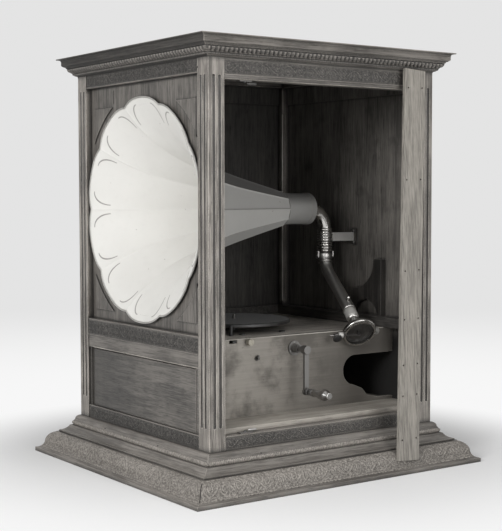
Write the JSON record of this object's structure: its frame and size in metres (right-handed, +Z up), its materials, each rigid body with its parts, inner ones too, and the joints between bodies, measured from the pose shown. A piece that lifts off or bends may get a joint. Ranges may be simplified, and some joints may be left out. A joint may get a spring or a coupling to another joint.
{
  "type": "horn gramophone",
  "caption": "Horn gramophone in a carved cabinet: a ten-petal flower horn fills the front, a pipe leads to a tone arm over a turntable with a clockwork motor, wound by a side crank",
  "frame": {"origin": "middle of the footprint, on the floor", "axes": "+Z up, the horn faces -Y, the open side faces +X"},
  "size_m": [0.702, 0.756, 0.91],
  "materials": {
    "oak": "waxed carved oak, worn",
    "inner_wood": "dry unpolished boards",
    "pale_wood": "bare planed softwood, dusty",
    "dark_stained_wood": "black stained wood, satin",
    "bare_pine": "rough sawn strip",
    "white_enamel": "aged white paint on sheet metal",
    "nickel": "worn nickel plate",
    "plated_steel": "dull plated steel",
    "black_iron": "black japanned iron",
    "mica_sheet": "clear mica sheet over a dark case",
    "green_felt": "woollen felt",
    "brass": "tarnished brass",
    "turned_wood": "polished turned wood",
    "ivory_knob": "cream moulded knob"
  },
  "bodies": {
    "cabinet": {"base_front": "oak", "base_right": "oak", "base_back": "oak", "base_left": "oak", "bottom_board": "inner_wood", "post_front_left": "oak", "post_front_right": "oak", "post_back_left": "oak", "post_back_right": "oak", "cornice_front": "oak", "cornice_right": "oak", "cornice_back": "oak", "cornice_left": "oak", "top_board": "oak", "front_top_rail": "oak", "front_mid_rail": "oak", "front_bottom_rail": "oak", "side_top_rail": "oak", "side_sill": "oak", "back_wall": "inner_wood", "left_wall": "inner_wood", "horn_board": "oak", "front_lower_panel": "oak", "motor_board": "inner_wood", "motor_box_panel": "pale_wood", "compartment_floor": "pale_wood", "wall_rails": "inner_wood", "cradle_board": "dark_stained_wood", "loose_strip": "bare_pine", "panel_catches": "plated_steel", "horn_petals": "white_enamel", "horn_collar": "white_enamel", "horn_elbow": "nickel", "elbow_bracket": "plated_steel", "motor_frame": "black_iron", "crank_bush": "nickel", "lever_screw": "plated_steel", "panel_hook": "plated_steel"},
    "turntable": {"turntable_plate": "nickel", "turntable_felt": "green_felt", "turntable_spindle": "plated_steel"},
    "spring_barrel": {"spring_barrel": "brass"},
    "governor": {"governor": "brass"},
    "crank": {"crank": "nickel"},
    "winding_wheel": {"winding_wheel": "plated_steel"},
    "crank_grip": {"crank_grip": "turned_wood"},
    "arm_swivel": {"arm_swivel": "nickel"},
    "tone_arm": {"tone_arm": "nickel"},
    "soundbox": {"soundbox_case": "nickel", "soundbox_rim": "nickel", "diaphragm": "mica_sheet"},
    "stylus": {"stylus_bar": "nickel", "needle": "plated_steel"},
    "needle_screw": {"needle_screw": "black_iron"},
    "stop_lever": {"stop_lever": "black_iron"},
    "speed_knob": {"speed_knob": "ivory_knob"},
    "catch_plunger_top": {"catch_plunger_top": "black_iron"},
    "catch_plunger_bottom": {"catch_plunger_bottom": "black_iron"}
  },
  "joints": [
    {"name": "turntable_spin", "type": "hinge", "parent": "cabinet", "child": "turntable", "pos_m": [0, -0.0515, 0.313], "axis": [0, 0, 1], "continuous": true},
    {"name": "barrel_spin", "type": "hinge", "parent": "cabinet", "child": "spring_barrel", "pos_m": [0.0624, -0.0515, 0.248], "axis": [0, 0, 1], "continuous": true},
    {"name": "governor_spin", "type": "hinge", "parent": "cabinet", "child": "governor", "pos_m": [-0.0278, -0.0515, 0.217], "axis": [0, 1, 0], "continuous": true},
    {"name": "crank_turn", "type": "hinge", "parent": "cabinet", "child": "crank", "pos_m": [0.203, -0.006, 0.266], "axis": [1, 0, 0], "continuous": true},
    {"name": "winding_wheel_spin", "type": "hinge", "parent": "cabinet", "child": "winding_wheel", "pos_m": [0.0624, -0.0515, 0.266], "axis": [0, 0, 1], "continuous": true},
    {"name": "crank_grip_spin", "type": "hinge", "parent": "crank", "child": "crank_grip", "pos_m": [0.24, -0.006, 0.176], "axis": [1, 0, 0], "continuous": true},
    {"name": "tone_arm_swing", "type": "hinge", "parent": "cabinet", "child": "arm_swivel", "pos_m": [0, 0.2105, 0.469], "axis": [0, 0, 1], "range_deg": [-74, 0]},
    {"name": "tone_arm_lift", "type": "hinge", "parent": "arm_swivel", "child": "tone_arm", "pos_m": [0, 0.2105, 0.454], "axis": [-0.2924, -0.9563, 0], "range_deg": [0, 37]},
    {"name": "soundbox_turn", "type": "hinge", "parent": "tone_arm", "child": "soundbox", "pos_m": [0.18755, 0.15316, 0.30195], "axis": [0.7484, -0.2288, -0.6225], "range_deg": [-160, 15]},
    {"name": "stylus_rock", "type": "hinge", "parent": "soundbox", "child": "stylus", "pos_m": [0.19242, 0.11089, 0.28929], "axis": [0.6003, -0.1653, 0.7825], "range_deg": [-0.35, 0.35], "stiffness_Nm_per_rad": 0.05},
    {"name": "needle_screw_turn", "type": "hinge", "parent": "stylus", "child": "needle_screw", "pos_m": [0.18706, 0.09267, 0.28955], "axis": [0.7484, -0.2288, -0.6225], "range_deg": [-180, 180]},
    {"name": "stop_lever_turn", "type": "hinge", "parent": "cabinet", "child": "stop_lever", "pos_m": [0.131, -0.16, 0.289], "axis": [0, 0, 1], "range_deg": [0, 8]},
    {"name": "speed_knob_turn", "type": "hinge", "parent": "cabinet", "child": "speed_knob", "pos_m": [0.164, -0.13, 0.288], "axis": [1, 0, 0], "range_deg": [-140, 140]},
    {"name": "catch_top_press", "type": "slide", "parent": "cabinet", "child": "catch_plunger_top", "axis": [0, 0, 1], "range_m": [0, 0.003], "stiffness_N_per_m": 300},
    {"name": "catch_bottom_press", "type": "slide", "parent": "cabinet", "child": "catch_plunger_bottom", "axis": [0, 0, -1], "range_m": [0, 0.003], "stiffness_N_per_m": 300}
  ],
  "couplings": [
    {"joint": "barrel_spin", "follows": "turntable_spin", "ratio": -0.21875},
    {"joint": "governor_spin", "follows": "turntable_spin", "ratio": 12},
    {"joint": "winding_wheel_spin", "follows": "crank_turn", "ratio": 0.125},
    {"joint": "tone_arm_lift", "follows": "tone_arm_swing", "ratio": -0.5}
  ]
}
